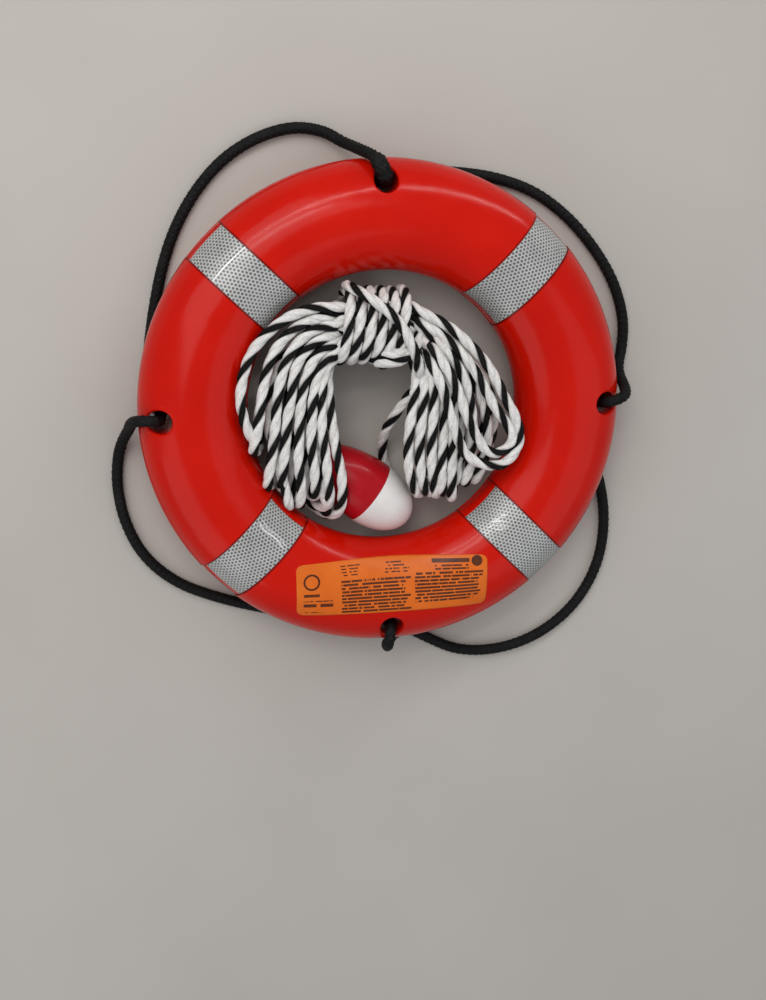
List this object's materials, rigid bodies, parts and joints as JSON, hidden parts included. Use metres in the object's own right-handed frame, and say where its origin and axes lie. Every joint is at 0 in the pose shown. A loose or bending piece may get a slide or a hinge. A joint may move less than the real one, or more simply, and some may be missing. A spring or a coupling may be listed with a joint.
{
  "type": "life ring buoy",
  "caption": "Moulded life ring with reflective tapes and a braided grab line looped through its rim, holding a coiled striped throw line and a two-coloured hand float in its eye.",
  "frame": {"origin": "centre of the ring on its flat back land, in the plane the ring rests on", "axes": "+Z along the ring's axis out of the front face, +Y towards the side that hangs uppermost, +X to the right seen from the front"},
  "size_m": [0.5654, 0.5889, 0.0923],
  "materials": {
    "shell_plastic": "glossy orange-red moulded polyethylene with light scuffs",
    "core_foam": "closed-cell polyurethane foam",
    "plug_plastic": "pressed-in polyethylene plug",
    "reflective_tape": "silver retroreflective tape with a dark hexagonal seal pattern",
    "label_vinyl": "orange printed vinyl",
    "grab_braid": "black braided polypropylene cord",
    "throw_rope": "three-strand twisted rope, two white strands and one black",
    "float_white": "satin white moulded plastic",
    "float_red": "glossy crimson moulded plastic",
    "liner_plastic": "extruded plastic tube"
  },
  "bodies": {
    "ring": {"outer_shell": "shell_plastic", "foam_core": "core_foam", "fill_plug": "plug_plastic", "vent_plug": "plug_plastic", "reflective_band_upper_right": "reflective_tape", "reflective_band_upper_left": "reflective_tape", "reflective_band_lower_left": "reflective_tape", "reflective_band_lower_right": "reflective_tape", "approval_label": "label_vinyl", "grab_line": "grab_braid", "grab_line_splice": "grab_braid"},
    "throw_line": {"hank_left_limb": "throw_rope", "hank_right_limb": "throw_rope", "hank_binding": "throw_rope", "throw_line_slack_turn": "throw_rope", "float_line": "throw_rope", "stopper_knot": "throw_rope"},
    "hand_float": {"float_white_half": "float_white", "float_red_half": "float_red", "float_liner": "liner_plastic", "float_end_cap": "float_white"}
  },
  "joints": [
    {"name": "throw_line_lift", "type": "slide", "parent": "ring", "child": "throw_line", "axis": [0, 0, 1], "range_m": [0, 0.16]},
    {"name": "float_spin", "type": "hinge", "parent": "throw_line", "child": "hand_float", "pos_m": [-0.0148, -0.0934, 0.0365], "axis": [0.7863, -0.6178, 0], "continuous": true}
  ]
}
